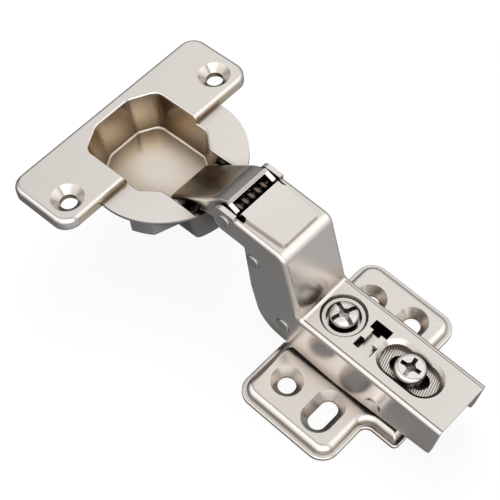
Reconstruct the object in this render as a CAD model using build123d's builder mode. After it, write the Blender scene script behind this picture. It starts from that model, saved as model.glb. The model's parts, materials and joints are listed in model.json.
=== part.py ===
"""Concealed cup hinge for a furniture door, shown standing open on its mounting plate.

Millimetres, +Z up. The plate lies on the cabinet side in the plane z = 0, and the origin is the
middle of its hole pattern. +X points into the cabinet and the cup hangs out towards -X.
The open door face is tilted by cup_tilt, so the cup is drawn in its own plane: u along the
door face, v along Y and w out of the door.
"""
from build123d import *
import os
from math import atan2, cos, degrees, hypot, radians, sin, tan

os.makedirs("parts", exist_ok=True)

# Mounting plate, a pressed tray
hole_pitch = 32.0
row_spacing = 12.0
plate_height = 2.9
plate_sheet = 1.2
plate_front = -14.65
plate_rear = 15.36
wing_half_width = 26.28
tongue_half_width = 11.0
tongue_rear = 24.9
throat_corner = 1.0
wing_corner = 5.0
notch_corner = 2.2
tongue_corner = 1.4
throat_half_width = 7.4
throat_depth = 1.8
rim_height = 0.9
rim_ledge = 1.2
rim_round = 1.9
ledge_round = 0.4
plate_hole_radius = 2.36
plate_cone_radius = 4.25
plate_hole_land = 0.54
plate_slot_shift = 4.28
dimple_wall = 0.9

# Rail on the plate that carries the arm
rail_half_width = 6.3
rail_height = 13.0
rail_sheet = 1.5
rail_front = -7.8
rail_rear = 24.3
rail_lip = 4.6
rail_lip_thickness = 1.2
rail_rivet_radius = 1.0
rail_rivet_head_radius = 1.4
rail_rivet_head_height = 0.7
rail_rivet_front = -5.5
rail_rivet_rear = 20.0

# Arm, one folded sheet
arm_half_width = 8.75
arm_sheet = 1.3
arm_fold = 1.2
arm_top = 19.8
arm_rear = 34.2
arm_crank_foot = -9.2
arm_crank_top = -15.2
web_drop = 1.0
arm_web_front = -30.9
ear_front = 3.3
ear_above = 4.0
ear_below = 4.5
arm_throat_x = -27.3
arm_throat_z = 34.2
arm_waist_x = -25.0
arm_waist_z = 19.0
arm_belly_x = -21.3
arm_belly_z = 5.6
arm_low_x = 2.8
arm_low_z = 3.8
arm_tail_x = 32.7
arm_tail_z = 6.7
crest_round = 3.0
foot_round = 1.2
tail_round = 1.2
low_round = 3.0
belly_round = 8.0
waist_round = 3.0
throat_round = 0.5
nose_round = 2.6
spring_notch_depth = 2.1
spring_notch_inner = 6.35
panel_rise = 1.2
panel_front_half_width = 7.1
panel_rear_half_width = 6.2
panel_rear = -16.9
panel_corner = 1.3
panel_draft = 12.0

# Openings in the arm's top
front_screw_x = -2.5
front_dimple_radius = 5.95
front_dimple_floor_radius = 5.3
front_dimple_depth = 0.8
front_hole_radius = 4.45
rear_screw_x = 18.3
recess_straight = 3.9
recess_floor_radius = 4.3
recess_lip = 1.0
recess_lip_angle = 45.0
recess_depth = 2.6
recess_wall = 1.2
recess_slot_straight = 3.2
recess_slot_radius = 2.4
window_x = 6.7
window_length = 5.3
window_far_inner = 1.9
window_far_outer = 4.5
window_near_inner = -1.4
window_near_outer = -4.4
window_neck_front = 5.3
window_neck_rear = 7.7

# Screws
front_head_radius = 3.65
front_head_top = 21.2
front_head_height = 3.9
front_head_round = 1.3
front_drive_length = 6.8
front_drive_turn = 70.5
front_thread_radius = 2.5
front_thread_clearance = 0.45
front_neck_radius = 1.6
front_neck_clearance = 0.3
front_foot_radius = 2.7
front_foot_height = 1.2
front_foot_clearance = 0.75
nut_plate_top = 16.4
nut_plate_thickness = 1.9
nut_plate_half_length = 3.6
tongue_inner = -1.7
tongue_outer = 4.7
tongue_step = 5.2
tongue_end = 8.6
tongue_top = 17.9
tongue_sheet = 1.0
rear_head_radius = 3.95
rear_head_height = 2.8
rear_head_round = 1.1
rear_drive_length = 5.4
rear_drive_turn = 8.0
rear_head_gap = 0.4
rear_shaft_radius = 2.2
rear_shaft_bottom = 7.0
rear_nut_radius = 4.0
rear_nut_spigot = 3.2
rear_nut_height = 3.5
thread_clearance = 0.05
drive_depth = 2.3
drive_width = 1.1
drive_core = 1.25

# Adjustment travel
depth_travel = 3.0
guide_pin_x = 15.2
guide_pin_z = 8.4
guide_pin_radius = 1.5
guide_pin_reach = 4.6

# Linkage, pivots of the two links on the arm and in the cup
pivot_clearance = 0.06
outer_pivot_x = -33.9
outer_pivot_z = 38.4
inner_pivot_x = -24.5
inner_pivot_z = 30.5
cup_centre_x = -62.47
cup_centre_z = 30.8
cup_tilt = 6.3
outer_pin_u = 10.4
outer_pin_w = -7.2
inner_pin_u = 15.1
inner_pin_w = -6.4
outer_link_turn = 44.0
inner_link_turn = 47.6
link_rivet_radius = 1.4
rivet_head_radius = 2.0
rivet_head_height = 0.35
rivet_head_round = 0.28

# Outer link, a folded channel: its outline is measured from the outer pivot, back towards -X
link_end_back = 20.4
link_end_below = 12.6
link_bend_back = 4.6
link_bend_above = 3.06
link_lip_back = 0.8
link_lip_above = 5.5
link_lip_width = 0.6
link_lip_length = 1.0
link_hub_front = 2.4
link_hub_reach = 3.0
link_hub_above = 3.5
link_hub_below = 3.2
link_chin_back = 0.6
link_chin_below = 5.2
link_jaw_back = 4.2
link_jaw_below = 5.6
link_belly_back = 8.9
link_belly_below = 6.8
link_hip_back = 14.4
link_hip_below = 10.8
outer_link_sheet = 1.2
outer_link_eye = 2.6
outer_link_eye_round = 2.3
outer_link_fold = 1.0
link_bend_round = 18.0
link_tip_round = 0.3
link_neck_round = 0.8
link_hub_round = 1.5
link_chin_round = 2.0
link_jaw_round = 3.0
link_belly_round = 2.0
link_hip_round = 1.0
outer_pin_radius = 1.2
outer_pin_collar_radius = 2.1
outer_pin_collar = 0.9

# Inner link, a narrow folded channel inside the outer link
inner_link_half_width = 3.0
inner_link_sheet = 1.1
inner_link_hub = 2.8
inner_pin_radius = 1.0
slot_clearance = 0.12
slot_wall = 0.9
slot_steps = 9
spacer_radius = 2.3
washer_radius = 2.6
washer_thickness = 0.6
side_play = 0.05

# Torsion spring round the outer rivet
spring_mean_radius = 2.2
spring_wire_radius = 0.7
spring_end_gap = 0.3
spring_coils = 4
spring_leg = 6.0

# Damper inside the crank
damper_pivot_x = -14.3
damper_pivot_z = 11.8
damper_aim_x = -0.695
damper_aim_z = 0.719
damper_radius = 3.6
damper_wall = 0.7
damper_start = 3.2
damper_end = 12.6
damper_eye = 2.7
damper_eye_half_width = 3.0
damper_cap_length = 1.6
damper_rod_radius = 1.1
damper_tip_round = 0.75
damper_piston_radius = 2.8
damper_piston_length = 1.2
damper_piston_start = 9.4
damper_tip = 19.8
damper_clearance = 0.06

# Cup
flange_back = -22.9
flange_front = -1.7
flange_half_length = 32.9
flange_corner = 4.4
flange_round = 1.3
flange_sheet = 1.4
door_face = -3.2
disc_radius = 20.9
disc_top = -2.2
cup_screw_pitch = 52.0
cup_screw_u = -8.1
cup_hole_radius = 2.28
cup_cone_radius = 4.3
cup_hole_land = 1.73
bore_radius = 20.0
lug_depth = 8.6
lug_back = 5.9
lug_front = 17.2
lug_rake = 19.5
lug_wall = 1.4
lug_corner = 0.8
nose_back = 11.6
mouth_back = -19.6
mouth_back_half = 5.6
mouth_side_u = -15.7
mouth_half_width = 12.6
mouth_shoulder_u = 2.2
channel_start_u = 6.9
channel_draft = 0.8
mouth_back_round = 3.8
mouth_side_round = 3.4
mouth_shoulder_round = 3.0
mouth_lip_round = 0.6
floor_depth = 11.0
floor_back = -17.4
floor_back_half = 5.0
floor_side_u = -14.1
floor_half_width = 10.6
floor_round = 0.8
tub_wall = 1.3
tub_bottom_round = 1.5
mouth_overrun = 2.1
nose_wall = 1.0
nose_corner = 2.2
nose_rim = -3.9
nose_notch_half_width = 3.5
pin_bite = 0.8
pin_seat = 0.02

# Sharp corners, and how near an edge must lie to a face to be picked from it
sharp = 0.0
near = 0.01


def outline(points, radius):
    """A closed outline with rounded corners, as a sketch face."""
    with BuildLine() as edge:
        FilletPolyline(*points, radius=radius, close=True)
    return make_face(edge.line, mode=Mode.PRIVATE)


def mirrored(points):
    """Points given for v > 0 in order, completed by their mirror images."""
    return points + [(x, -y) for x, y in reversed(points)]


def inward(before, corner, after, distance):
    """The corner of the outline moved in by a distance from both of its lines."""
    ax, ay = corner[0] - before[0], corner[1] - before[1]
    bx, by = after[0] - corner[0], after[1] - corner[1]
    la, lb = hypot(ax, ay), hypot(bx, by)
    ax, ay, bx, by = ax / la, ay / la, bx / lb, by / lb
    turn = ax * by - ay * bx
    px, py = corner[0] - ay * distance, corner[1] + ax * distance
    qx, qy = corner[0] - by * distance, corner[1] + bx * distance
    along = ((qx - px) * by - (qy - py) * bx) / turn
    return (px + ax * along, py + ay * along)


def turned(point, centre, angle):
    """A point of the side view turned about a centre, from +X towards +Z."""
    dx, dz = point[0] - centre[0], point[1] - centre[1]
    c, s = cos(radians(angle)), sin(radians(angle))
    return (centre[0] + c * dx - s * dz, centre[1] + s * dx + c * dz)


def cup_point(u, w):
    """A point of the cup's own side view in the frame of the hinge."""
    c, s = cos(radians(cup_tilt)), sin(radians(cup_tilt))
    return (cup_centre_x + c * u - s * w, cup_centre_z + s * u + c * w)


def rod_plane(x, z, y_end):
    """A plane facing -Y at a side view point, for pins that run along Y."""
    return Plane(origin=(x, y_end, z), x_dir=(1, 0, 0), z_dir=(0, -1, 0))


tilt_cos = cos(radians(cup_tilt))
tilt_sin = sin(radians(cup_tilt))
cup_face = Plane(origin=(cup_centre_x, 0, cup_centre_z), x_dir=(tilt_cos, 0, tilt_sin),
                 z_dir=(-tilt_sin, 0, tilt_cos))
cup_axis = Axis(cup_face.origin, cup_face.z_dir)
outer_pivot = (outer_pivot_x, outer_pivot_z)
arm_nose = outer_pivot_x - ear_front
arm_ear_top = outer_pivot_z + ear_above
arm_ear_bottom = outer_pivot_z - ear_below
arm_web_top = arm_ear_top - web_drop
tub_front = disc_radius + mouth_overrun
inner_pivot = (inner_pivot_x, inner_pivot_z)
outer_pin = cup_point(outer_pin_u, outer_pin_w)
inner_pin = cup_point(inner_pin_u, inner_pin_w)
closing_turn = 90.0 + cup_tilt
arm_inner = arm_half_width - arm_sheet
outer_link_half_width = arm_inner - washer_thickness - side_play
outer_link_inner = outer_link_half_width - outer_link_sheet
floor_channel_half_width = outer_link_half_width + outer_pin_collar + 2 * side_play
channel_half_width = floor_channel_half_width + channel_draft
cup_pin_span = channel_half_width + pin_bite

# Mounting plate
half_pitch = hole_pitch / 2
half_row = row_spacing / 2
plate_points = mirrored([
    (plate_front + throat_depth, throat_half_width - throat_depth),
    (plate_front, throat_half_width),
    (plate_front, wing_half_width),
    (plate_rear, wing_half_width),
    (plate_rear, tongue_half_width),
    (tongue_rear, tongue_half_width),
])
rivet_y = rail_half_width - rail_sheet - rail_rivet_head_radius - side_play
plate_radii = [throat_corner, throat_corner, wing_corner, wing_corner, notch_corner, tongue_corner]
plate_face = outline(plate_points, plate_radii + plate_radii[::-1])
plate_cone_half_angle = degrees(atan2(plate_cone_radius - plate_hole_radius,
                                      plate_height - plate_hole_land))
with BuildPart() as mounting_plate:
    with BuildSketch():
        add(plate_face)
    extrude(amount=rim_height)
    fillet(mounting_plate.faces().sort_by(Axis.Z)[-1].edges(), radius=ledge_round)
    with BuildSketch(Plane.XY.offset(rim_height)):
        add(plate_face)
        offset(amount=-rim_ledge, kind=Kind.ARC, mode=Mode.REPLACE)
    extrude(amount=plate_height - rim_height)
    top_edges = mounting_plate.faces().sort_by(Axis.Z)[-1].edges()
    fillet(top_edges, radius=rim_round)
    with BuildSketch():
        add(plate_face)
        offset(amount=-rim_ledge - plate_sheet, kind=Kind.ARC, mode=Mode.REPLACE)
    extrude(amount=plate_height - plate_sheet, mode=Mode.SUBTRACT)
    with BuildSketch():
        with Locations((-half_row, -half_pitch), (-half_row, half_pitch)):
            Circle(plate_cone_radius + dimple_wall)
        with Locations((half_row, -half_pitch), (half_row, half_pitch)):
            SlotCenterToCenter(plate_slot_shift, 2 * (plate_cone_radius + dimple_wall), rotation=90)
    extrude(amount=plate_height - plate_sheet / 2)
    with BuildSketch(Plane.XY.offset(plate_height)):
        with Locations((-half_row, -half_pitch), (-half_row, half_pitch)):
            Circle(plate_cone_radius)
        with Locations((half_row, -half_pitch), (half_row, half_pitch)):
            SlotCenterToCenter(plate_slot_shift, 2 * plate_cone_radius, rotation=90)
    extrude(amount=plate_hole_land - plate_height, taper=plate_cone_half_angle, mode=Mode.SUBTRACT)
    with BuildSketch():
        with Locations((-half_row, -half_pitch), (-half_row, half_pitch)):
            Circle(plate_hole_radius)
        with Locations((half_row, -half_pitch), (half_row, half_pitch)):
            SlotCenterToCenter(plate_slot_shift, 2 * plate_hole_radius, rotation=90)
    extrude(amount=plate_height, mode=Mode.SUBTRACT)
    with Locations([(x, y, 0) for x in (rail_rivet_front, rail_rivet_rear)
                    for y in (-rivet_y, rivet_y)]):
        Hole(rail_rivet_radius + thread_clearance, depth=2 * plate_height)
mounting_plate.part.label = "mounting_plate"
export_step(mounting_plate.part, "parts/mounting_plate.step")

# Rail, an inverted channel with lips turned in under it
rail_inner = rail_half_width - rail_sheet
rail_profile = [
    (-rail_half_width, plate_height), (-rail_half_width + rail_lip, plate_height),
    (-rail_half_width + rail_lip, plate_height + rail_lip_thickness),
    (-rail_inner, plate_height + rail_lip_thickness), (-rail_inner, rail_height - rail_sheet),
    (rail_inner, rail_height - rail_sheet), (rail_inner, plate_height + rail_lip_thickness),
    (rail_half_width - rail_lip, plate_height + rail_lip_thickness),
    (rail_half_width - rail_lip, plate_height), (rail_half_width, plate_height),
    (rail_half_width, rail_height), (-rail_half_width, rail_height),
]
neck_way = depth_travel + front_neck_radius + front_neck_clearance
with BuildPart() as plate_rail:
    with BuildSketch(Plane(origin=(rail_front, 0, 0), x_dir=(0, 1, 0), z_dir=(1, 0, 0))):
        with BuildLine():
            Polyline(*rail_profile, close=True)
        make_face()
    extrude(amount=rail_rear - rail_front)
    long_edges = plate_rail.edges().filter_by(Axis.X)
    top_corners = [e for e in long_edges if e.center().Z > rail_height - near]
    fillet(top_corners, radius=rail_sheet)
    with BuildSketch(Plane.XY.offset(rail_height - rail_sheet)):
        with Locations((front_screw_x, 0)):
            SlotOverall(2 * neck_way, 2 * (front_neck_radius + front_neck_clearance))
        with Locations(((rail_front + front_screw_x) / 2, 0)):
            Rectangle(front_screw_x - rail_front, 2 * (front_neck_radius + front_neck_clearance))
        with Locations((rear_screw_x, 0)):
            Circle(rear_nut_spigot)
    extrude(amount=2 * rail_sheet, mode=Mode.SUBTRACT)
    with BuildSketch(Plane.XZ.offset(-rail_half_width)):
        with Locations((guide_pin_x, guide_pin_z)):
            SlotCenterToCenter(2 * depth_travel, 2 * (guide_pin_radius + pivot_clearance))
    extrude(amount=2 * rail_half_width, mode=Mode.SUBTRACT)
    with Locations([(x, y, plate_height) for x in (rail_rivet_front, rail_rivet_rear)
                    for y in (-rivet_y, rivet_y)]):
        Hole(rail_rivet_radius + thread_clearance, depth=2 * rail_lip_thickness)
plate_rail.part.label = "plate_rail"
export_step(plate_rail.part, "parts/plate_rail.step")

# Four rivets hold the rail's lips on the plate
lip_top = plate_height + rail_lip_thickness
with BuildPart() as rail_rivets:
    with BuildSketch(Plane.XY.offset(plate_height - plate_sheet)):
        with Locations([(x, y) for x in (rail_rivet_front, rail_rivet_rear) for y in (-rivet_y, rivet_y)]):
            Circle(rail_rivet_radius)
    extrude(amount=lip_top - plate_height + plate_sheet)
    with BuildSketch(Plane.XY.offset(lip_top)):
        with Locations([(x, y) for x in (rail_rivet_front, rail_rivet_rear) for y in (-rivet_y, rivet_y)]):
            Circle(rail_rivet_head_radius)
    extrude(amount=rail_rivet_head_height)
rail_rivets.part.label = "rail_rivets"
export_step(rail_rivets.part, "parts/rail_rivets.step")

# Threaded bush for the rear screw, staked into the rail
with BuildPart() as rail_nut:
    with BuildSketch(Plane.XY.offset(rail_height - rail_sheet - rear_nut_height)):
        with Locations((rear_screw_x, 0)):
            Circle(rear_nut_radius)
    extrude(amount=rear_nut_height)
    with BuildSketch(Plane.XY.offset(rail_height - rail_sheet)):
        with Locations((rear_screw_x, 0)):
            Circle(rear_nut_spigot)
    extrude(amount=rail_sheet)
    with Locations((rear_screw_x, 0, rail_height)):
        Hole(rear_shaft_radius + thread_clearance, depth=2 * rear_nut_height)
rail_nut.part.label = "rail_nut"
export_step(rail_nut.part, "parts/rail_nut.step")

# Arm
arm_points = [
    (arm_nose, arm_ear_top), (arm_nose, arm_ear_bottom), (arm_throat_x, arm_throat_z),
    (arm_waist_x, arm_waist_z), (arm_belly_x, arm_belly_z), (arm_low_x, arm_low_z),
    (arm_tail_x, arm_tail_z), (arm_rear, arm_top), (arm_crank_foot, arm_top),
    (arm_crank_top, arm_web_top), (arm_web_front, arm_web_top), (arm_web_front, arm_ear_top),
]
arm_radii = [
    nose_round, nose_round, throat_round, waist_round, belly_round, low_round, tail_round, sharp,
    foot_round, crest_round, sharp, sharp,
]
foot = (arm_crank_foot, arm_top)
crest = (arm_crank_top, arm_web_top)
inner_foot = inward((arm_rear, arm_top), foot, crest, arm_sheet)
inner_crest = inward(foot, crest, (arm_web_front, arm_web_top), arm_sheet)
arm_void = [
    (2 * arm_rear, inner_foot[1]), inner_foot, inner_crest,
    (2 * arm_nose, inner_crest[1]), (2 * arm_nose, -arm_top), (2 * arm_rear, -arm_top),
]
panel_points = mirrored([(arm_web_front, -panel_front_half_width), (panel_rear, -panel_rear_half_width)])
panel_radii = [sharp, panel_corner, panel_corner, sharp]
recess_floor = arm_top - recess_depth
with BuildPart() as arm:
    with BuildSketch(Plane.XZ):
        add(outline(arm_points, arm_radii))
    extrude(amount=arm_half_width, both=True)
    fold_edges = [
        e for e in arm.edges()
        if abs(abs(e.center().Y) - arm_half_width) < near
        and e.center().X > arm_web_front
        and (e.center().Z > arm_web_top - near
             or (e.center().X > arm_waist_x and e.center().Z > arm_top - near))
    ]
    fillet(fold_edges, radius=arm_fold)
    with BuildSketch(Plane.XZ):
        add(outline(arm_void, [sharp, foot_round + arm_sheet, crest_round - arm_sheet, sharp, sharp, sharp]))
    extrude(amount=arm_inner, both=True, mode=Mode.SUBTRACT)
    with BuildSketch(Plane.XY.offset(arm_ear_bottom)):
        with Locations(((arm_web_front + 2 * arm_nose) / 2, 0)):
            Rectangle(arm_web_front - 2 * arm_nose, 2 * arm_inner)
    extrude(amount=arm_web_top, mode=Mode.SUBTRACT)
    with BuildSketch(Plane.XY.offset(arm_web_top - arm_sheet / 2)):
        add(outline(panel_points, panel_radii))
    extrude(amount=panel_rise + arm_sheet / 2, taper=panel_draft)
    with BuildSketch(Plane.XY.offset(arm_web_top - arm_sheet)):
        add(outline(panel_points, panel_radii))
        offset(amount=-arm_sheet, kind=Kind.ARC, mode=Mode.REPLACE)
        with Locations((arm_web_front, 0)):
            Rectangle(4 * arm_sheet, 2 * (panel_front_half_width - arm_sheet))
    extrude(amount=panel_rise, mode=Mode.SUBTRACT)
    with BuildSketch(Plane.XY.offset(arm_ear_bottom)):
        for side in (-1, 1):
            with Locations((arm_web_front, side * (spring_notch_inner + arm_inner) / 2)):
                Rectangle(2 * spring_notch_depth, arm_inner - spring_notch_inner)
    extrude(amount=arm_web_top, mode=Mode.SUBTRACT)
    with BuildSketch(Plane.XY.offset(arm_top - arm_sheet)):
        with Locations((front_screw_x, 0)):
            Circle(front_dimple_floor_radius + arm_sheet)
    extrude(amount=-front_dimple_depth)
    with BuildSketch(Plane.XY.offset(arm_top - arm_sheet)):
        with Locations((rear_screw_x, 0)):
            SlotCenterToCenter(2 * recess_straight, 2 * (recess_floor_radius + recess_wall))
    extrude(amount=arm_sheet - recess_depth - recess_wall)
    with BuildSketch(Plane.XY.offset(arm_top)):
        with Locations((front_screw_x, 0)):
            Circle(front_dimple_radius)
    dimple_angle = degrees(atan2(front_dimple_radius - front_dimple_floor_radius, front_dimple_depth))
    extrude(amount=-front_dimple_depth, taper=dimple_angle, mode=Mode.SUBTRACT)
    with BuildSketch(Plane.XY.offset(arm_top)):
        with Locations((front_screw_x, 0)):
            Circle(front_hole_radius)
        with Locations((rear_screw_x, 0)):
            SlotCenterToCenter(2 * recess_slot_straight, 2 * recess_slot_radius)
        with Locations((window_x, (window_far_inner + window_far_outer) / 2)):
            Rectangle(window_length, window_far_outer - window_far_inner)
        with Locations((window_x, (window_near_inner + window_near_outer) / 2)):
            Rectangle(window_length, window_near_inner - window_near_outer)
        with Locations(((window_neck_front + window_neck_rear) / 2, 0)):
            Rectangle(window_neck_rear - window_neck_front, window_far_outer - window_near_outer)
    extrude(amount=-recess_depth - 2 * recess_wall, mode=Mode.SUBTRACT)
    with BuildSketch(Plane.XY.offset(arm_top)):
        with Locations((rear_screw_x, 0)):
            SlotCenterToCenter(2 * recess_straight, 2 * recess_floor_radius)
    extrude(amount=-recess_depth, mode=Mode.SUBTRACT)
    with BuildSketch(Plane.XY.offset(arm_top)):
        with Locations((rear_screw_x, 0)):
            SlotCenterToCenter(2 * recess_straight, 2 * (recess_floor_radius + recess_lip))
    extrude(amount=-recess_lip, taper=recess_lip_angle, mode=Mode.SUBTRACT)
    for x, z, radius in (
        (outer_pivot_x, outer_pivot_z, link_rivet_radius), (inner_pivot_x, inner_pivot_z, link_rivet_radius),
        (damper_pivot_x, damper_pivot_z, link_rivet_radius), (guide_pin_x, guide_pin_z, guide_pin_radius),
    ):
        with BuildSketch(rod_plane(x, z, 2 * arm_half_width)):
            Circle(radius + pivot_clearance)
        extrude(amount=4 * arm_half_width, mode=Mode.SUBTRACT)
arm.part.label = "arm"
export_step(arm.part, "parts/arm.step")

# Rivets and pins that run across the arm


def cross_rivet(name, x, z, radius, half_length):
    """A rivet along Y with a low head on each outer face of the arm."""
    with BuildPart() as rivet:
        with BuildSketch(rod_plane(x, z, 0)):
            Circle(radius)
        extrude(amount=half_length, both=True)
        for side in (-1, 1):
            with BuildSketch(rod_plane(x, z, -side * half_length)):
                Circle(rivet_head_radius)
            extrude(amount=side * rivet_head_height)
        rims = rivet.edges().filter_by(GeomType.CIRCLE).group_by(Axis.Y)
        fillet(rims[0] + rims[-1], radius=rivet_head_round)
    rivet.part.label = name
    export_step(rivet.part, "parts/" + name + ".step")
    return rivet.part


outer_link_rivet = cross_rivet("outer_link_rivet", *outer_pivot, link_rivet_radius, arm_half_width)
inner_link_rivet = cross_rivet("inner_link_rivet", *inner_pivot, link_rivet_radius, arm_half_width)
damper_rivet = cross_rivet("damper_rivet", damper_pivot_x, damper_pivot_z, link_rivet_radius, arm_half_width)

# Two short pins in the arm's walls run in the long holes of the rail
with BuildPart() as guide_pins:
    for side in (-1, 1):
        with BuildSketch(rod_plane(guide_pin_x, guide_pin_z, side * guide_pin_reach)):
            Circle(guide_pin_radius)
        extrude(amount=-side * (arm_half_width - guide_pin_reach))
        with BuildSketch(rod_plane(guide_pin_x, guide_pin_z, side * arm_half_width)):
            Circle(rivet_head_radius)
        extrude(amount=-side * rivet_head_height)
guide_pins.part.label = "guide_pins"
export_step(guide_pins.part, "parts/guide_pins.step")


def ring_pair(name, centre, inner_radius, outer_radius, y_inner, y_outer):
    """Two equal washers or bushes on a pivot, one on each side."""
    with BuildPart() as rings:
        for side in (-1, 1):
            with BuildSketch(rod_plane(*centre, side * y_outer)):
                Circle(outer_radius)
                Circle(inner_radius, mode=Mode.SUBTRACT)
            extrude(amount=side * (y_outer - y_inner))
    rings.part.label = name
    export_step(rings.part, "parts/" + name + ".step")
    return rings.part


outer_link_washers = ring_pair("outer_link_washers", outer_pivot, link_rivet_radius + pivot_clearance,
                               washer_radius, outer_link_half_width + side_play, arm_inner)
inner_link_spacers = ring_pair("inner_link_spacers", inner_pivot, link_rivet_radius + pivot_clearance,
                               spacer_radius, inner_link_half_width + side_play, arm_inner)

# Nut plate for the front screw, crimped between the walls of the arm, with a tongue under the window
with BuildPart() as adjusting_nut:
    with BuildSketch(Plane.XY.offset(nut_plate_top)):
        with Locations((front_screw_x, 0)):
            Rectangle(2 * nut_plate_half_length, 2 * arm_inner)
            Circle(front_thread_radius + front_thread_clearance, mode=Mode.SUBTRACT)
    extrude(amount=-nut_plate_thickness)
    nut_rear = front_screw_x + nut_plate_half_length
    with BuildSketch(Plane.XZ.offset(tongue_inner)):
        with BuildLine():
            Polyline((nut_rear, nut_plate_top), (tongue_step, nut_plate_top), (tongue_step, tongue_top),
                     (tongue_end, tongue_top), (tongue_end, tongue_top - tongue_sheet),
                     (tongue_step + tongue_sheet, tongue_top - tongue_sheet),
                     (tongue_step + tongue_sheet, nut_plate_top - tongue_sheet),
                     (nut_rear, nut_plate_top - tongue_sheet), close=True)
        make_face()
    extrude(amount=tongue_outer - tongue_inner)
adjusting_nut.part.label = "adjusting_nut"
export_step(adjusting_nut.part, "parts/adjusting_nut.step")


def cross_drive(x, top, length, turn):
    """The cross shaped outline of the drive in a screw head."""
    with BuildSketch(Plane.XY.offset(top)) as drive:
        with Locations((x, 0)):
            Rectangle(length, drive_width, rotation=turn)
            Rectangle(length, drive_width, rotation=turn + 90)
            Circle(drive_core)
    return drive.sketch


# Front screw: head, thread, then a neck and foot that the rail holds
neck_top = rail_height + front_foot_clearance / 2
neck_bottom = rail_height - rail_sheet - front_foot_clearance
with BuildPart() as front_adjusting_screw:
    with BuildSketch(Plane.XY.offset(front_head_top)):
        with Locations((front_screw_x, 0)):
            Circle(front_head_radius)
    extrude(amount=-front_head_height)
    fillet(front_adjusting_screw.edges().sort_by(Axis.Z)[-1], radius=front_head_round)
    with BuildSketch(Plane.XY.offset(front_head_top - front_head_height)):
        with Locations((front_screw_x, 0)):
            Circle(front_thread_radius)
    extrude(amount=neck_top - front_head_top + front_head_height)
    with BuildSketch(Plane.XY.offset(neck_top)):
        with Locations((front_screw_x, 0)):
            Circle(front_neck_radius)
    extrude(amount=neck_bottom - neck_top)
    with BuildSketch(Plane.XY.offset(neck_bottom)):
        with Locations((front_screw_x, 0)):
            Circle(front_foot_radius)
    extrude(amount=-front_foot_height)
    front_drive = cross_drive(front_screw_x, front_head_top, front_drive_length, front_drive_turn)
    extrude(front_drive, amount=-drive_depth, mode=Mode.SUBTRACT)
front_adjusting_screw.part.label = "front_adjusting_screw"
export_step(front_adjusting_screw.part, "parts/front_adjusting_screw.step")

# Rear screw
rear_head_bottom = recess_floor + rear_head_gap
with BuildPart() as rear_fixing_screw:
    with BuildSketch(Plane.XY.offset(rear_head_bottom)):
        with Locations((rear_screw_x, 0)):
            Circle(rear_head_radius)
    extrude(amount=rear_head_height)
    fillet(rear_fixing_screw.edges().sort_by(Axis.Z)[-1], radius=rear_head_round)
    with BuildSketch(Plane.XY.offset(rear_shaft_bottom)):
        with Locations((rear_screw_x, 0)):
            Circle(rear_shaft_radius)
    extrude(amount=rear_head_bottom - rear_shaft_bottom)
    head_top = rear_head_bottom + rear_head_height
    rear_drive = cross_drive(rear_screw_x, head_top, rear_drive_length, rear_drive_turn)
    extrude(rear_drive, amount=-drive_depth, mode=Mode.SUBTRACT)
rear_fixing_screw.part.label = "rear_fixing_screw"
export_step(rear_fixing_screw.part, "parts/rear_fixing_screw.step")

# Damper: barrel with an eye on its rivet, end cap, and piston with its rod
aim = Vector(damper_aim_x, 0, damper_aim_z).normalized()
damper_axis = Plane(origin=(damper_pivot_x, 0, damper_pivot_z), x_dir=(0, 1, 0), z_dir=(aim.X, 0, aim.Z))
bore_end = damper_end - damper_cap_length
with BuildPart() as damper_barrel:
    with BuildSketch(damper_axis.offset(damper_start)):
        Circle(damper_radius)
    extrude(amount=damper_end - damper_start)
    with BuildSketch(rod_plane(damper_pivot_x, damper_pivot_z, 0)):
        Circle(damper_eye)
    extrude(amount=damper_eye_half_width, both=True)
    with BuildSketch(damper_axis):
        Rectangle(2 * damper_eye_half_width, 2 * damper_eye)
    extrude(amount=damper_start)
    with BuildSketch(damper_axis.offset(damper_start + damper_wall)):
        Circle(damper_radius - damper_wall)
    extrude(amount=damper_end - damper_start, mode=Mode.SUBTRACT)
    with BuildSketch(rod_plane(damper_pivot_x, damper_pivot_z, arm_half_width)):
        Circle(link_rivet_radius + pivot_clearance)
    extrude(amount=2 * arm_half_width, mode=Mode.SUBTRACT)
damper_barrel.part.label = "damper_barrel"
export_step(damper_barrel.part, "parts/damper_barrel.step")

with BuildPart() as damper_cap:
    with BuildSketch(damper_axis.offset(bore_end)):
        Circle(damper_radius - damper_wall)
        Circle(damper_rod_radius + damper_clearance, mode=Mode.SUBTRACT)
    extrude(amount=damper_cap_length)
damper_cap.part.label = "damper_cap"
export_step(damper_cap.part, "parts/damper_cap.step")

with BuildPart() as damper_rod:
    with BuildSketch(damper_axis.offset(damper_piston_start)):
        Circle(damper_piston_radius)
    extrude(amount=damper_piston_length)
    with BuildSketch(damper_axis.offset(damper_piston_start)):
        Circle(damper_rod_radius)
    extrude(amount=damper_tip - damper_piston_start)
    fillet(damper_rod.edges().sort_by(Axis.Z)[-1], radius=damper_tip_round)
damper_rod.part.label = "damper_rod"
export_step(damper_rod.part, "parts/damper_rod.step")

# Outer link, a channel whose back is the bright plate between cup and arm

def from_pivot(back, above):
    """A point of the outer link's side view, measured from the outer pivot."""
    return (outer_pivot_x - back, outer_pivot_z + above)


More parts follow.
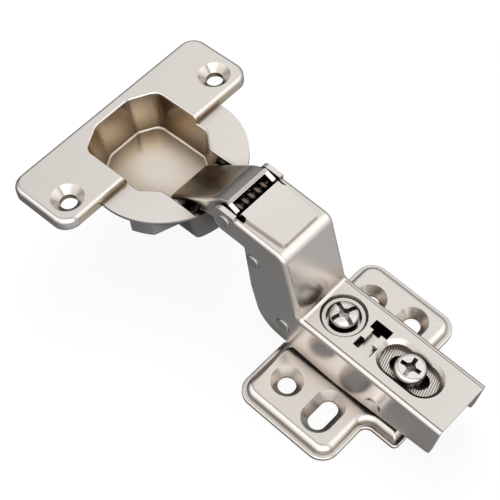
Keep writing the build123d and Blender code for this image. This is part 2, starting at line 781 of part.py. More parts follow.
outer_link_points = [
    from_pivot(link_end_back, -link_end_below),
    from_pivot(link_bend_back, link_bend_above),
    from_pivot(link_lip_back, link_lip_above),
    from_pivot(link_lip_back - link_lip_width, link_lip_above - link_lip_length),
    from_pivot(-link_hub_front, link_hub_above),
    from_pivot(-link_hub_reach, 0),
    from_pivot(-link_hub_front, -link_hub_below),
    from_pivot(link_chin_back, -link_chin_below),
    from_pivot(link_jaw_back, -link_jaw_below),
    from_pivot(link_belly_back, -link_belly_below),
    from_pivot(link_hip_back, -link_hip_below),
    (outer_pin[0] + outer_link_eye, outer_pin[1] - outer_link_eye),
    (outer_pin[0] - outer_link_eye, outer_pin[1] - outer_link_eye),
]
outer_link_radii = [
    sharp, link_bend_round, sharp, link_tip_round, link_neck_round, link_hub_round, link_hub_round,
    link_chin_round, link_jaw_round, link_belly_round, link_hip_round,
    outer_link_eye_round, outer_link_eye_round,
]
link_end = outer_link_points[0]
link_bend = outer_link_points[1]
link_cut = outer_link_points[2]
with BuildPart() as outer_link:
    with BuildSketch(Plane.XZ):
        add(outline(outer_link_points, outer_link_radii))
    extrude(amount=outer_link_half_width, both=True)
    back_edges = [
        e for e in outer_link.edges()
        if abs(abs(e.center().Y) - outer_link_half_width) < near
        and e.center().Z > link_end[1]
        and e.center().Z - e.center().X > link_cut[1] - link_cut[0]
    ]
    fillet(back_edges, radius=outer_link_fold)
    run = hypot(link_bend[0] - link_end[0], link_bend[1] - link_end[1])
    along = ((link_bend[0] - link_end[0]) / run, (link_bend[1] - link_end[1]) / run)
    below = (link_end[0] + along[1] * outer_link_sheet - 4 * along[0],
             link_end[1] - along[0] * outer_link_sheet - 4 * along[1])
    bend = inward(link_cut, link_bend, link_end, outer_link_sheet)
    rise = ((link_cut[0] - link_bend[0]), (link_cut[1] - link_bend[1]))
    beyond = (bend[0] + 3 * rise[0], bend[1] + 3 * rise[1])
    with BuildSketch(Plane.XZ):
        with BuildLine():
            Polyline(below, bend, beyond, (beyond[0], arm_belly_z), (below[0], arm_belly_z), close=True)
        make_face()
    extrude(amount=outer_link_inner, both=True, mode=Mode.SUBTRACT)
    for centre, radius in ((outer_pivot, link_rivet_radius), (outer_pin, outer_pin_radius)):
        with BuildSketch(rod_plane(*centre, arm_half_width)):
            Circle(radius + pivot_clearance)
        extrude(amount=2 * arm_half_width, mode=Mode.SUBTRACT)
outer_link.part.label = "outer_link"
export_step(outer_link.part, "parts/outer_link.step")

# Torsion spring round the outer rivet: one leg hangs down, the other lies along the link's back
last_turn = degrees(atan2(along[0], -along[1])) / 360
coil_half_length = outer_link_inner - spring_end_gap - spring_wire_radius
spring_pitch = 2 * coil_half_length / (spring_coils + last_turn)
coil_heights = [spring_pitch] * spring_coils + [spring_pitch * last_turn]
with BuildPart() as spring_coil:
    with BuildLine() as coil:
        for turn, height in enumerate(coil_heights):
            add(Helix(pitch=spring_pitch, height=height, radius=spring_mean_radius,
                      center=(0, coil_half_length - turn * spring_pitch, 0), direction=(0, -1, 0),
                      mode=Mode.PRIVATE))
    with BuildSketch(Plane(origin=coil.line @ 0, z_dir=coil.line % 0)):
        Circle(spring_wire_radius)
    sweep(path=coil.line, is_frenet=True)
    for end, sense in ((0, -1), (1, 1)):
        leg_way = (coil.line % end) * sense
        with BuildSketch(Plane(origin=coil.line @ end, z_dir=(leg_way.X, 0, leg_way.Z))):
            Circle(spring_wire_radius)
        extrude(amount=spring_leg)
with BuildPart() as torsion_spring:
    with Locations((outer_pivot_x, 0, outer_pivot_z)):
        add(spring_coil.part, rotation=(0, -90, 0))
torsion_spring.part.label = "torsion_spring"
export_step(torsion_spring.part, "parts/torsion_spring.step")

# Inner link. Its cup end has a slot, because the cup pin wanders a little in it as the hinge folds
slot_centres = []
for step in range(slot_steps):
    share = step / (slot_steps - 1)
    carried = turned(outer_pin, outer_pivot, outer_link_turn * share)
    pin_now = (carried[0] + inner_pin[0] - outer_pin[0], carried[1] + inner_pin[1] - outer_pin[1])
    pin_now = turned(pin_now, carried, -closing_turn * share)
    slot_centres.append(turned(pin_now, inner_pivot, -inner_link_turn * share))
slot_radius = inner_pin_radius + slot_clearance
with BuildPart() as inner_link:
    with BuildSketch(Plane.XZ) as bar_sketch:
        with Locations(slot_centres):
            Circle(slot_radius + slot_wall)
        with Locations(inner_pivot):
            Circle(inner_link_hub)
        make_hull()
    extrude(amount=inner_link_half_width, both=True)
    with BuildSketch(Plane.XZ) as slot_sketch:
        with Locations(slot_centres):
            Circle(slot_radius)
        make_hull()
    extrude(amount=2 * inner_link_half_width, both=True, mode=Mode.SUBTRACT)
    with BuildSketch(rod_plane(*inner_pivot, arm_half_width)):
        Circle(link_rivet_radius + pivot_clearance)
    extrude(amount=2 * arm_half_width, mode=Mode.SUBTRACT)
    link_angle = degrees(atan2(inner_pin[1] - inner_pivot[1], inner_pin[0] - inner_pivot[0]))
    link_plane = Plane(origin=(inner_pivot_x, 0, inner_pivot_z),
                       x_dir=(cos(radians(link_angle)), 0, sin(radians(link_angle))), z_dir=(0, -1, 0))
    with BuildSketch(link_plane):
        with Locations((0, inner_link_hub + inner_link_sheet / 2)):
            Rectangle(8 * inner_link_hub, 2 * inner_link_hub + 2 * inner_link_hub - inner_link_sheet)
    extrude(amount=inner_link_half_width - inner_link_sheet, both=True, mode=Mode.SUBTRACT)
inner_link.part.label = "inner_link"
export_step(inner_link.part, "parts/inner_link.step")

# Cup: flange, rim disc, the two lugs that fill the bore and the tub are one casting
flange_points = mirrored([(flange_back, flange_half_length), (flange_front, flange_half_length)])
mouth_points = [
    (mouth_back, mouth_back_half), (mouth_side_u, mouth_half_width), (mouth_shoulder_u, mouth_half_width),
    (channel_start_u, channel_half_width), (tub_front, channel_half_width),
]
mouth_radii = [mouth_back_round, mouth_side_round, mouth_shoulder_round, mouth_shoulder_round, sharp]
floor_points = [
    (floor_back, floor_back_half), (floor_side_u, floor_half_width), (mouth_shoulder_u, floor_half_width),
    (channel_start_u, floor_channel_half_width), (tub_front, floor_channel_half_width),
]
mouth_face = outline(mirrored(mouth_points), mouth_radii + mouth_radii[::-1])
floor_face = outline(mirrored(floor_points), mouth_radii + mouth_radii[::-1])
cup_cone_half_angle = degrees(atan2(cup_cone_radius - cup_hole_radius, cup_hole_land))
tub_bottom = -floor_depth - tub_wall
nose_half_width = channel_half_width + tub_wall + side_play
cup_holes = [(cup_screw_u, -cup_screw_pitch / 2), (cup_screw_u, cup_screw_pitch / 2)]
with BuildPart() as tub_space:
    with BuildSketch(cup_face):
        add(mouth_face)
    with BuildSketch(cup_face.offset(-floor_depth)):
        add(floor_face)
    loft(ruled=True)
    fillet(tub_space.faces().sort_by(cup_axis)[0].edges(), radius=floor_round)
    with BuildSketch(cup_face.offset(nose_rim)):
        with Locations((nose_back + disc_radius, 0)):
            Rectangle(2 * disc_radius, 2 * disc_radius)
        Circle(bore_radius - nose_wall, mode=Mode.SUBTRACT)
        with Locations((bore_radius, 0)):
            Rectangle(bore_radius, 2 * nose_notch_half_width, mode=Mode.SUBTRACT)
    extrude(amount=-2 * floor_depth, mode=Mode.SUBTRACT)
with BuildPart() as tub_shell:
    with BuildSketch(cup_face.offset(disc_top)):
        add(mouth_face)
        offset(amount=tub_wall, kind=Kind.ARC, mode=Mode.REPLACE)
    with BuildSketch(cup_face.offset(tub_bottom)):
        add(floor_face)
        offset(amount=tub_wall, kind=Kind.ARC, mode=Mode.REPLACE)
    loft(ruled=True)
    fillet(tub_shell.faces().sort_by(cup_axis)[0].edges(), radius=tub_bottom_round)
    with BuildSketch(cup_face.offset(2 * tub_bottom)):
        with Locations((nose_back - bore_radius, 0)):
            Rectangle(2 * bore_radius, 2 * bore_radius)
        with Locations((bore_radius, 0)):
            Rectangle(2 * bore_radius, 2 * nose_half_width)
        Circle(bore_radius, mode=Mode.INTERSECT)
        fillet(vertices().group_by(Axis.X)[-1], radius=nose_corner)
    extrude(amount=-4 * tub_bottom, mode=Mode.INTERSECT)
lug_tip = lug_front - bore_radius * tan(radians(lug_rake))
lug_points = mirrored([(lug_back, bore_radius), (lug_tip, bore_radius)])
lug_points.insert(2, (lug_front, 0))
with BuildPart() as cup:
    with BuildSketch(cup_face.offset(door_face)):
        add(outline(flange_points, flange_corner))
    extrude(amount=-door_face)
    fillet(cup.faces().sort_by(Axis.Z)[-1].edges(), radius=flange_round)
    with BuildSketch(cup_face.offset(door_face)):
        add(outline(flange_points, flange_corner))
        offset(amount=-flange_sheet, kind=Kind.ARC, mode=Mode.REPLACE)
    extrude(amount=-door_face - flange_sheet, mode=Mode.SUBTRACT)
    with BuildSketch(cup_face.offset(door_face)):
        with Locations(cup_holes):
            Circle(cup_cone_radius + dimple_wall)
    extrude(amount=-door_face - flange_round)
    with BuildSketch(cup_face.offset(door_face)):
        Circle(disc_radius)
    extrude(amount=disc_top - door_face)
    with BuildSketch(cup_face.offset(disc_top)):
        add(mouth_face)
        offset(amount=tub_wall, kind=Kind.ARC, mode=Mode.REPLACE)
        add(outline(flange_points, flange_corner), mode=Mode.INTERSECT)
    extrude(amount=-disc_top - flange_sheet / 2)
    with BuildSketch(cup_face.offset(-lug_depth)):
        Circle(bore_radius)
        Polygon(*lug_points, align=None, mode=Mode.INTERSECT)
        fillet(vertices().group_by(Axis.X)[-2], radius=lug_corner)
        offset(amount=-lug_wall, kind=Kind.ARC, mode=Mode.SUBTRACT)
    extrude(amount=lug_depth + door_face)
    add(tub_shell.part)
    add(tub_space.part, mode=Mode.SUBTRACT)
    lip_edges = []
    for edge in cup.edges():
        start, middle, end = (cup_face.to_local_coords(edge @ share) for share in (0.0, 0.5, 1.0))
        over_mouth = mouth_back - near < middle.X and abs(middle.Y) < mouth_half_width + near
        on_flange = max(abs(p.Z) for p in (start, middle, end)) < near
        on_disc = max(abs(p.Z - disc_top) for p in (start, middle, end)) < near
        if over_mouth and (on_flange or (on_disc and middle.X > flange_front)):
            lip_edges.append(edge)
    fillet(lip_edges, radius=mouth_lip_round)
    with BuildSketch(cup_face):
        with Locations(cup_holes):
            Circle(cup_cone_radius)
    extrude(amount=-cup_hole_land, taper=cup_cone_half_angle, mode=Mode.SUBTRACT)
    with BuildSketch(cup_face):
        with Locations(cup_holes):
            Circle(cup_hole_radius)
    extrude(amount=2 * door_face, mode=Mode.SUBTRACT)
    for (x, z), radius in ((outer_pin, outer_pin_radius), (inner_pin, inner_pin_radius)):
        with BuildSketch(rod_plane(x, z, cup_pin_span + pin_seat)):
            Circle(radius + pin_seat)
        extrude(amount=2 * (cup_pin_span + pin_seat), mode=Mode.SUBTRACT)
cup.part.label = "cup"
export_step(cup.part, "parts/cup.step")

# Two short pins carry the outer link in the cup, each with a collar that keeps it off the wall
with BuildPart() as cup_outer_pins:
    for side in (-1, 1):
        with BuildSketch(rod_plane(*outer_pin, side * cup_pin_span)):
            Circle(outer_pin_radius)
        extrude(amount=side * (cup_pin_span - outer_link_inner))
        with BuildSketch(rod_plane(*outer_pin, side * (floor_channel_half_width - side_play))):
            Circle(outer_pin_collar_radius)
        extrude(amount=side * outer_pin_collar)
cup_outer_pins.part.label = "cup_outer_pins"
export_step(cup_outer_pins.part, "parts/cup_outer_pins.step")

# One long pin carries the inner link
with BuildPart() as cup_inner_pin:
    with BuildSketch(rod_plane(*inner_pin, 0)):
        Circle(inner_pin_radius)
    extrude(amount=cup_pin_span, both=True)
cup_inner_pin.part.label = "cup_inner_pin"
export_step(cup_inner_pin.part, "parts/cup_inner_pin.step")
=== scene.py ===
"""Looks of the concealed cup hinge: nickel finishes, fine surface detail, light and camera."""
import json
from math import cos, pi, radians, sin

import bpy
from mathutils import Matrix, Vector


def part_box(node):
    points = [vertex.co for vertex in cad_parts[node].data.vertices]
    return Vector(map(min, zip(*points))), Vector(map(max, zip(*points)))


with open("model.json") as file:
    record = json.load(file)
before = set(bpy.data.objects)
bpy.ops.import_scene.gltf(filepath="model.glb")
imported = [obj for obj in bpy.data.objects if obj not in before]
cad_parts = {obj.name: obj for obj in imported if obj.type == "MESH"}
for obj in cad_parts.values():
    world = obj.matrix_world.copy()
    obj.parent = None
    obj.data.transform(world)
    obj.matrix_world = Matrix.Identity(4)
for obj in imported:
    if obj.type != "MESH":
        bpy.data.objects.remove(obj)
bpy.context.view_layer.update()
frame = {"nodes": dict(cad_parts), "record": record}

MM = 0.001

# Camera of the photograph
CAMERA_AZIMUTH = 42.795
CAMERA_ELEVATION = 58.785
CAMERA_ROLL = 0.196
CAMERA_DISTANCE = 376.066 * MM
CAMERA_TARGET = Vector((-37.604, 4.405, 5.417)) * MM
PHOTO_WIDTH = 500
FOCAL_PIXELS = 1448.43
SENSOR_WIDTH = 36.0
CLIP_NEAR = 0.01
CLIP_FAR = 10.0

# Places on the model, in its own frame
CUP_CENTRE = Vector((-62.47, 0, 30.8)) * MM
CUP_TILT = radians(6.3)
CUP_ALONG = Vector((cos(CUP_TILT), 0, sin(CUP_TILT)))
CUP_OUT = Vector((-sin(CUP_TILT), 0, cos(CUP_TILT)))
CUP_LIP_TOP = -0.3 * MM
CUP_LIP_FOOT = -1.1 * MM
CUP_DISC_DEPTH = 2.6 * MM
CUP_DISC_SOFT = 0.4 * MM
CUP_FLOOR_DEPTH = 9.6 * MM
CUP_FLOOR_SOFT = 0.5 * MM
CUP_NOSE_START = 11 * MM
CUP_NOSE_FULL = 14 * MM
ARM_TOP = 19.8 * MM
ARM_TOP_REACH = 0.1 * MM
CREASE_FROM_EDGE = 1.25 * MM
CREASE_HALF_WIDTH = 0.08 * MM
RECESS_FLOOR = 17.2 * MM
RECESS_FLOOR_REACH = 0.05 * MM
RECESS_FRONT = 8.0 * MM
KNURL_PITCH = 0.58 * MM
KNURL_WAY = Vector((0.96, 0.28, 0))
KNURL_EDGE = (0.3, -0.3)
FRONT_SCREW_X = -2.5 * MM
TURNING_PITCH = 0.22 * MM
WEB_FACING = Vector((-0.70, 0, 0.71))
WEB_DARK_X = -45.0 * MM
WEB_LIGHT_X = -36.0 * MM

# How a face's direction, as the cosine to an axis, turns into a soft mask from 0 to 1
TOP_FACES = (0.9, 0.97)
RISING_FACES = (0.3, 0.6)
STEEP_FACES = (0.6, 0.3)
UNDERSIDE_FACES = (-0.3, -0.6)
BACK_WALL_FACES = (0.3, 0.8)
WEB_FACES = (0.75, 0.95)
UPWARD_FACES = (0.2, 0.85)

# Tones of painted shade that multiply the nickel's colour
CREASE_SHADE_TONE = (0.30, 0.27, 0.24)
KNURL_GROOVE_SHADE_TONE = (0.42, 0.40, 0.36)
SIDE_WALL_SHADE_TONE = (0.60, 0.52, 0.43)
BACK_WALL_SHADE_TONE = (0.98, 0.90, 0.76)
CUP_FLOOR_SHADE_TONE = (1.0, 0.96, 0.89)
CUP_BODY_SHADE_TONE = (0.60, 0.64, 0.70)
CUP_NOSE_SHADE_TONE = (0.45, 0.44, 0.42)
WEB_SHADE_DARK_TONE = (0.29, 0.28, 0.26)
WEB_SHADE_LIGHT_TONE = (0.92, 0.90, 0.86)

# Painted shade: how dark a nickel surface is painted where little of the room can be seen from it
CAVITY_REACH = 11.0 * MM
CAVITY_SAMPLES = 12
CAVITY_SHADE_TONES = [
    (0.0, (0.02, 0.016, 0.012)), (0.3, (0.07, 0.055, 0.04)), (0.5, (0.22, 0.19, 0.155)),
    (0.75, (0.60, 0.56, 0.50)), (0.93, (1.0, 1.0, 1.0)), (1.0, (1.0, 1.0, 1.0)),
]

# Clouds, orange peel and specks of every finish: noise scales, the noise range used, and bump depths
CLOUD_SCALE = 55.0
CLOUD_RANGE = (0.3, 0.7)
PEEL_SCALE = 420.0
PEEL_DEPTH = 0.012 * MM
SPECK_SCALE = 2600.0
SPECK_DEPTH = 0.004 * MM
GRAIN_STRENGTH = 0.35
ROUGHNESS_RANGE = (0.35, 0.65)
EDGE_RANGE = (0.52, 0.62)
EDGE_WEAR = 0.25
EDGE_GAIN = 1.25
MARK_DEPTH = 0.03 * MM
MARK_STRENGTH = 0.6

# Studio
FLOOR_SIZE = 6.0
FLOOR_COLOUR = (0.92, 0.92, 0.92, 1)
FLOOR_GLOW = 0.88
KEY_PLACE = (-0.35, 0.35, 0.75)
KEY_SIZE = 0.5
KEY_POWER = 3.0


def make_camera():
    """The camera stands back from the target, turned by azimuth, elevation and a little roll."""
    turn, lift = radians(CAMERA_AZIMUTH), radians(CAMERA_ELEVATION)
    back = Vector((sin(turn) * cos(lift), -cos(turn) * cos(lift), sin(lift)))
    right = Vector((cos(turn), sin(turn), 0))
    up = back.cross(right)
    roll = radians(CAMERA_ROLL)
    rolled_right = right * cos(roll) + up * sin(roll)
    rolled_up = up * cos(roll) - right * sin(roll)
    data = bpy.data.cameras.new("photo_camera")
    data.sensor_width = SENSOR_WIDTH
    data.lens = FOCAL_PIXELS * SENSOR_WIDTH / PHOTO_WIDTH
    data.clip_start = CLIP_NEAR
    data.clip_end = CLIP_FAR
    camera = bpy.data.objects.new("photo_camera", data)
    bpy.context.scene.collection.objects.link(camera)
    place = CAMERA_TARGET + back * CAMERA_DISTANCE
    camera.matrix_world = Matrix((
        (rolled_right.x, rolled_up.x, back.x, place.x),
        (rolled_right.y, rolled_up.y, back.y, place.y),
        (rolled_right.z, rolled_up.z, back.z, place.z),
        (0, 0, 0, 1),
    ))
    bpy.context.scene.camera = camera


class Nodes:
    """A short way to make and join shader nodes."""

    def __init__(self, tree):
        self.tree = tree
        tree.nodes.clear()

    def add(self, kind, inputs=None, **settings):
        node = self.tree.nodes.new(kind)
        for name, value in settings.items():
            setattr(node, name, value)
        for name, value in (inputs or {}).items():
            socket = node.inputs[name]
            if isinstance(value, bpy.types.NodeSocket):
                self.tree.links.new(value, socket)
            else:
                socket.default_value = value
        return node

    def math(self, operation, first, second=0.0):
        return self.add("ShaderNodeMath", {0: first, 1: second}, operation=operation).outputs[0]

    def span(self, value, low, high, to_low=0.0, to_high=1.0):
        """A value brought from one range to another, and held inside it."""
        return self.add("ShaderNodeMapRange", {"Value": value, "From Min": low, "From Max": high,
                                               "To Min": to_low, "To Max": to_high}).outputs[0]

    def band(self, value, middle, reach, soft):
        """1 where a value lies within reach of the middle, falling to 0 over a soft edge."""
        away = self.math("ABSOLUTE", self.math("SUBTRACT", value, middle))
        return self.span(away, reach + soft, reach)

    def dot(self, first, second):
        node = self.add("ShaderNodeVectorMath", {0: first, 1: second}, operation="DOT_PRODUCT")
        return node.outputs["Value"]

    def split(self, vector):
        return self.add("ShaderNodeSeparateXYZ", {"Vector": vector}).outputs

    def noise(self, place, scale, detail, roughness):
        node = self.add("ShaderNodeTexNoise", {"Vector": place, "Scale": scale, "Detail": detail,
                                               "Roughness": roughness})
        return node.outputs["Fac"]

    def bump(self, height, strength, depth, normal=None):
        """A surface direction tilted by a height, on top of another one where it is given."""
        inputs = {"Height": height, "Strength": strength, "Distance": depth}
        if normal:
            inputs["Normal"] = normal
        return self.add("ShaderNodeBump", inputs).outputs[0]

    def ramp(self, value, low, high, stops):
        """Colours by value, from stops given in the value's own unit."""
        node = self.add("ShaderNodeValToRGB", {"Fac": self.span(value, low, high)})
        marks = node.color_ramp.elements
        while len(marks) < len(stops):
            marks.new(0.5)
        for mark, (place, colour) in zip(marks, stops):
            mark.position = (place - low) / (high - low)
            mark.color = (*colour, 1.0)
        return node.outputs[0]

    def tint(self, colour, tone, factor=1.0):
        """A colour multiplied by a tone, by as much as the factor says."""
        darker = self.add("ShaderNodeVectorMath", {0: colour, 1: tone}, operation="MULTIPLY").outputs[0]
        return self.mix(factor, colour, darker)

    def mix(self, factor, first, second):
        node = self.add("ShaderNodeMix", {"Factor": factor}, data_type="RGBA")
        for socket, value in ((node.inputs[6], first), (node.inputs[7], second)):
            if isinstance(value, bpy.types.NodeSocket):
                self.tree.links.new(value, socket)
            else:
                socket.default_value = (*value, 1.0)
        return node.outputs[2]


def finish_material(name, light, dark, rough, metallic=1.0, top_cavity_shade=0.25, details=None):
    """A satin surface: cloudy colour, uneven roughness, fine grain, slightly brighter worn edges and
    painted shade in hollows.

    light and dark are the two colours that drift into each other, rough is (low, high), top_cavity_shade
    is how much of the painted cavity shade an upward face holds, and details is a function that adds
    marks of its own to the colour, painted shade among them, and may give a height for them.
    """
    material = bpy.data.materials.new(name)
    material.use_nodes = True
    n = Nodes(material.node_tree)
    source = n.add("ShaderNodeTexCoord")
    place, facing = source.outputs["Object"], source.outputs["Normal"]
    cloud = n.noise(place, CLOUD_SCALE, 3.0, 0.5)
    speck = n.noise(place, SPECK_SCALE, 2.0, 0.6)
    peel = n.noise(place, PEEL_SCALE, 2.0, 0.5)
    colour = n.mix(n.span(cloud, *CLOUD_RANGE), dark, light)
    edge = n.add("ShaderNodeNewGeometry").outputs["Pointiness"]
    worn = tuple(min(1.0, channel * EDGE_GAIN) for channel in light)
    colour = n.mix(n.span(edge, *EDGE_RANGE, 0.0, EDGE_WEAR), colour, worn)
    # Painted shade: darker where little of the room is seen within CAVITY_REACH; faces that point up hold
    # only part of it.
    reach = {"Distance": CAVITY_REACH}
    around = n.add("ShaderNodeAmbientOcclusion", reach, samples=CAVITY_SAMPLES).outputs["AO"]
    keep = n.span(n.split(facing)[2], *UPWARD_FACES, 1.0, top_cavity_shade)
    colour = n.tint(colour, n.ramp(around, 0.0, 1.0, CAVITY_SHADE_TONES), keep)
    marks = None
    if details:
        colour, marks = details(n, place, facing, colour)
    uneven = n.math("MULTIPLY", n.math("ADD", cloud, speck), 0.5)
    roughness = n.span(uneven, *ROUGHNESS_RANGE, *rough)
    normal = n.bump(speck, GRAIN_STRENGTH, SPECK_DEPTH)
    normal = n.bump(peel, GRAIN_STRENGTH, PEEL_DEPTH, normal)
    if marks:
        normal = n.bump(marks, MARK_STRENGTH, MARK_DEPTH, normal)
    shader = n.add("ShaderNodeBsdfPrincipled", {
        "Base Color": colour, "Roughness": roughness, "Metallic": metallic, "Normal": normal,
    })
    n.add("ShaderNodeOutputMaterial", {"Surface": shader.outputs[0]})
    return material


def arm_shade_lines_and_ribs(n, place, facing, colour):
    """Painted shade along the top's long edges as a thin dark line at the fold, and fine ribs on the rear
    recess floor with painted shade in their grooves.
    """
    x, y, z = n.split(place)
    up = n.span(n.split(facing)[2], *TOP_FACES)
    # Painted shade: a thin dark line along the fold at the top's long edges.
    crease_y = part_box("arm")[1][1] - CREASE_FROM_EDGE
    crease = n.band(n.math("ABSOLUTE", y), crease_y, CREASE_HALF_WIDTH, CREASE_HALF_WIDTH)
    crease = n.math("MULTIPLY", crease, n.band(z, ARM_TOP, ARM_TOP_REACH, ARM_TOP_REACH))
    colour = n.tint(colour, CREASE_SHADE_TONE, n.math("MULTIPLY", crease, up))
    ribs = n.math("SINE", n.math("MULTIPLY", n.dot(place, KNURL_WAY), 2 * pi / KNURL_PITCH))
    level = n.band(z, RECESS_FLOOR, RECESS_FLOOR_REACH, RECESS_FLOOR_REACH)
    behind = n.span(x, RECESS_FRONT, RECESS_FRONT + MM)
    on_floor = n.math("MULTIPLY", n.math("MULTIPLY", level, behind), up)
    # Painted shade in the grooves between the ribs.
    deep = n.math("MULTIPLY", n.span(ribs, *KNURL_EDGE), on_floor)
    colour = n.tint(colour, KNURL_GROOVE_SHADE_TONE, deep)
    return colour, n.math("MULTIPLY", ribs, on_floor)


def cup_painted_shade(n, place, facing, colour):
    """Painted shade inside the cup, darkest on its side walls and lighter on its back wall and floor, and
    painted shade on the body under the flange, darker still at the nose.
    """
    out = n.math("SUBTRACT", n.dot(place, CUP_OUT), CUP_CENTRE.dot(CUP_OUT))
    along = n.math("SUBTRACT", n.dot(place, CUP_ALONG), CUP_CENTRE.dot(CUP_ALONG))
    across = n.split(place)[1]
    outward = n.math("ADD", n.math("MULTIPLY", n.dot(facing, CUP_ALONG), along),
                     n.math("MULTIPLY", n.split(facing)[1], across))
    facing_out = n.dot(facing, CUP_OUT)
    outward = n.math("ADD", outward, n.span(facing_out, *UNDERSIDE_FACES))
    wall = n.span(facing_out, *STEEP_FACES)
    low = n.span(out, -CUP_DISC_DEPTH + CUP_DISC_SOFT, -CUP_DISC_DEPTH - CUP_DISC_SOFT)
    below_lip = n.span(out, CUP_LIP_TOP, CUP_LIP_FOOT)
    inside = n.math("MULTIPLY", n.math("LESS_THAN", outward, 0.0), below_lip)
    outside = n.math("MULTIPLY", n.math("GREATER_THAN", outward, 0.0), low)
    back = n.span(n.dot(facing, CUP_ALONG), *BACK_WALL_FACES)
    # Painted shade on the inner walls: side walls darker, back wall lighter.
    wall_shade_tone = n.mix(back, SIDE_WALL_SHADE_TONE, BACK_WALL_SHADE_TONE)
    colour = n.tint(colour, wall_shade_tone, n.math("MULTIPLY", inside, wall))
    # Painted shade on the cup's floor.
    deep = n.span(out, -CUP_FLOOR_DEPTH, -CUP_FLOOR_DEPTH - CUP_FLOOR_SOFT)
    floor = n.math("MULTIPLY", deep, n.span(facing_out, *RISING_FACES))
    colour = n.tint(colour, CUP_FLOOR_SHADE_TONE, floor)
    # Painted shade with a cool tint on the outer body below the flange, darker still at the nose.
    outside = n.math("MULTIPLY", outside, wall)
    colour = n.tint(colour, CUP_BODY_SHADE_TONE, outside)
    nose = n.math("MULTIPLY", outside, n.span(along, CUP_NOSE_START, CUP_NOSE_FULL))
    colour = n.tint(colour, CUP_NOSE_SHADE_TONE, nose)
    return colour, None


def link_painted_shade(n, place, facing, colour):
    """Painted shade on the broad back of the link, dark at its lower end and lighter higher up; its cut
    edges are left bright.
    """
    # Painted shade on faces turned like the link's back, graded along its length.
    back = n.span(n.dot(facing, WEB_FACING), *WEB_FACES)
    forward = n.span(n.split(place)[0], WEB_DARK_X, WEB_LIGHT_X)
    tone = n.mix(forward, WEB_SHADE_DARK_TONE, WEB_SHADE_LIGHT_TONE)
    return n.tint(colour, tone, back), None


def head_details(n, place, facing, colour):
    """Fine turning marks on the crown of the front screw's head."""
    x, y, _ = n.split(place)
    dx = n.math("SUBTRACT", x, FRONT_SCREW_X)
    radius = n.math("SQRT", n.math("ADD", n.math("MULTIPLY", dx, dx), n.math("MULTIPLY", y, y)))
    rings = n.math("SINE", n.math("MULTIPLY", radius, 2 * pi / TURNING_PITCH))
    return colour, n.math("MULTIPLY", rings, n.span(n.split(facing)[2], *RISING_FACES))


def dress():
    """Gives each CAD node its finish."""
    nickel = dict(light=(0.745, 0.70, 0.66), dark=(0.72, 0.675, 0.635), rough=(0.20, 0.27))
    # The nickel finishes share one colour and differ in how much painted cavity shade their upward faces
    # hold and in the details they add, painted shade among them.
    looks = {
        "arm_nickel": dict(nickel, top_cavity_shade=0.1, details=arm_shade_lines_and_ribs),
        "nut_nickel": dict(nickel, top_cavity_shade=0.12),
        "plate_nickel": nickel,
        "cup_nickel": dict(nickel, top_cavity_shade=0.7, details=cup_painted_shade),
        "link_nickel": dict(light=(0.74, 0.72, 0.69), dark=(0.68, 0.66, 0.63), rough=(0.16, 0.24),
                            details=link_painted_shade),
        "rivet_steel": dict(light=(0.60, 0.59, 0.58), dark=(0.50, 0.49, 0.48), rough=(0.26, 0.38)),
        "screw_nickel": dict(light=(0.76, 0.74, 0.71), dark=(0.66, 0.64, 0.62), rough=(0.12, 0.2),
                             details=head_details),
        "spring_steel": dict(light=(0.20, 0.155, 0.12), dark=(0.11, 0.085, 0.065), rough=(0.25, 0.4)),
        "bearing_plastic": dict(light=(0.32, 0.32, 0.33), dark=(0.26, 0.26, 0.27), rough=(0.45, 0.6),
                                metallic=0.0),
        "damper_plastic": dict(light=(0.50, 0.51, 0.52), dark=(0.42, 0.43, 0.44), rough=(0.4, 0.55),
                               metallic=0.0),
    }
    finishes = {name: finish_material(name, **look) for name, look in looks.items()}
    by_slot = {
        "arm_steel": "arm_nickel", "plate_steel": "plate_nickel", "cup_metal": "cup_nickel",
        "link_steel": "link_nickel", "rivet_steel": "rivet_steel", "screw_steel": "screw_nickel",
        "spring_steel": "spring_steel", "bearing_plastic": "bearing_plastic",
        "damper_plastic": "damper_plastic",
    }
    by_node = {"adjusting_nut": "nut_nickel"}
    slots = {entry["node"]: entry["material_slot"] for entry in frame["record"]["subparts"]}
    for name, node in frame["nodes"].items():
        node.data.materials.clear()
        node.data.materials.append(finishes[by_node.get(name, by_slot[slots[name]])])


def make_floor():
    """A plain pale floor that takes a faint soft shadow. The metal mirrors the studio, not the floor."""
    bpy.ops.mesh.primitive_plane_add(size=FLOOR_SIZE, location=(0, 0, 0))
    floor = bpy.context.object
    floor.name = "floor"
    floor.visible_glossy = False
    material = bpy.data.materials.new("floor_white")
    material.use_nodes = True
    n = Nodes(material.node_tree)
    white = n.add("ShaderNodeBsdfDiffuse", {"Color": FLOOR_COLOUR})
    glow = n.add("ShaderNodeEmission", {"Color": (1, 1, 1, 1), "Strength": 1.0})
    both = n.add("ShaderNodeMixShader", {"Fac": FLOOR_GLOW, 1: white.outputs[0], 2: glow.outputs[0]})
    n.add("ShaderNodeOutputMaterial", {"Surface": both.outputs[0]})
    floor.data.materials.append(material)


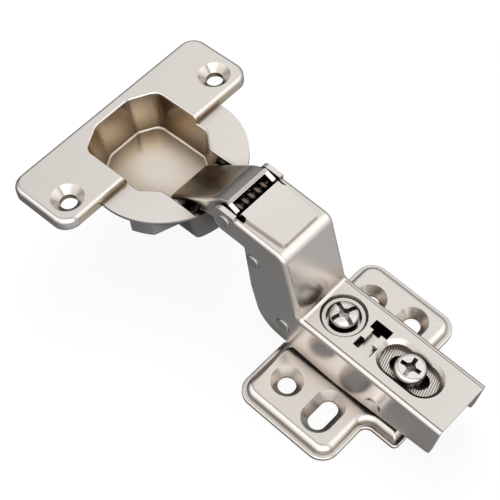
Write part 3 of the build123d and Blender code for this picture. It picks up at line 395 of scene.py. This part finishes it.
def make_world():
    """White round the object, and for the metal a studio of white panels with dark gaps between them."""
    world = bpy.data.worlds.new("studio")
    bpy.context.scene.world = world
    world.use_nodes = True
    n = Nodes(world.node_tree)
    x, y, z = n.split(n.add("ShaderNodeTexCoord").outputs["Generated"])

    def grey(level, tint=0.0):
        return (level * (1 + tint), level, level * (1 - tint))

    below = n.ramp(x, -1.0, 1.0, [
        (-1.0, grey(0.05)), (-0.7, grey(0.08)), (-0.35, grey(0.21, -0.02)), (0.1, grey(0.30)),
        (0.5, grey(0.48)), (1.0, grey(0.60)),
    ])
    above = n.ramp(y, -1.0, 1.0, [
        (-1.0, grey(1.2)), (-0.25, grey(1.5)), (-0.06, grey(1.4)), (0.02, grey(0.35)), (0.16, grey(0.35)),
        (0.24, grey(1.0)), (0.6, grey(1.0)), (1.0, grey(0.8)),
    ])
    side = n.ramp(x, -1.0, 1.0, [
        (-1.0, grey(0.7)), (-0.6, grey(1.0)), (0.0, grey(1.0)), (0.2, grey(1.5)), (1.0, grey(1.5)),
    ])
    height = n.ramp(z, -1.0, 1.0, [
        (-1.0, grey(0.0)), (-0.2, grey(0.0)), (-0.04, grey(0.4)), (0.2, grey(0.4)), (0.5, grey(1.0)),
        (1.0, grey(1.0)),
    ])
    above = n.add("ShaderNodeVectorMath", {0: above, 1: side}, operation="MULTIPLY").outputs[0]
    room = n.mix(height, below, above)
    glossy = n.add("ShaderNodeLightPath").outputs["Is Glossy Ray"]
    colour = n.mix(glossy, (1.0, 1.0, 1.0), room)
    light = n.add("ShaderNodeBackground", {"Color": colour, "Strength": 1.0})
    n.add("ShaderNodeOutputWorld", {"Surface": light.outputs[0]})


def softbox(name, place, size, power):
    """A square area light that faces the plate's centre."""
    data = bpy.data.lights.new(name, "AREA")
    data.size = size
    data.energy = power
    light = bpy.data.objects.new(name, data)
    bpy.context.scene.collection.objects.link(light)
    light.location = place
    light.visible_glossy = False
    light.rotation_mode = "QUATERNION"
    light.rotation_quaternion = (-Vector(place)).to_track_quat("-Z", "Y")


make_camera()
dress()
make_floor()
make_world()
softbox("key_light", KEY_PLACE, KEY_SIZE, KEY_POWER)
bpy.context.scene.view_settings.view_transform = "Standard"
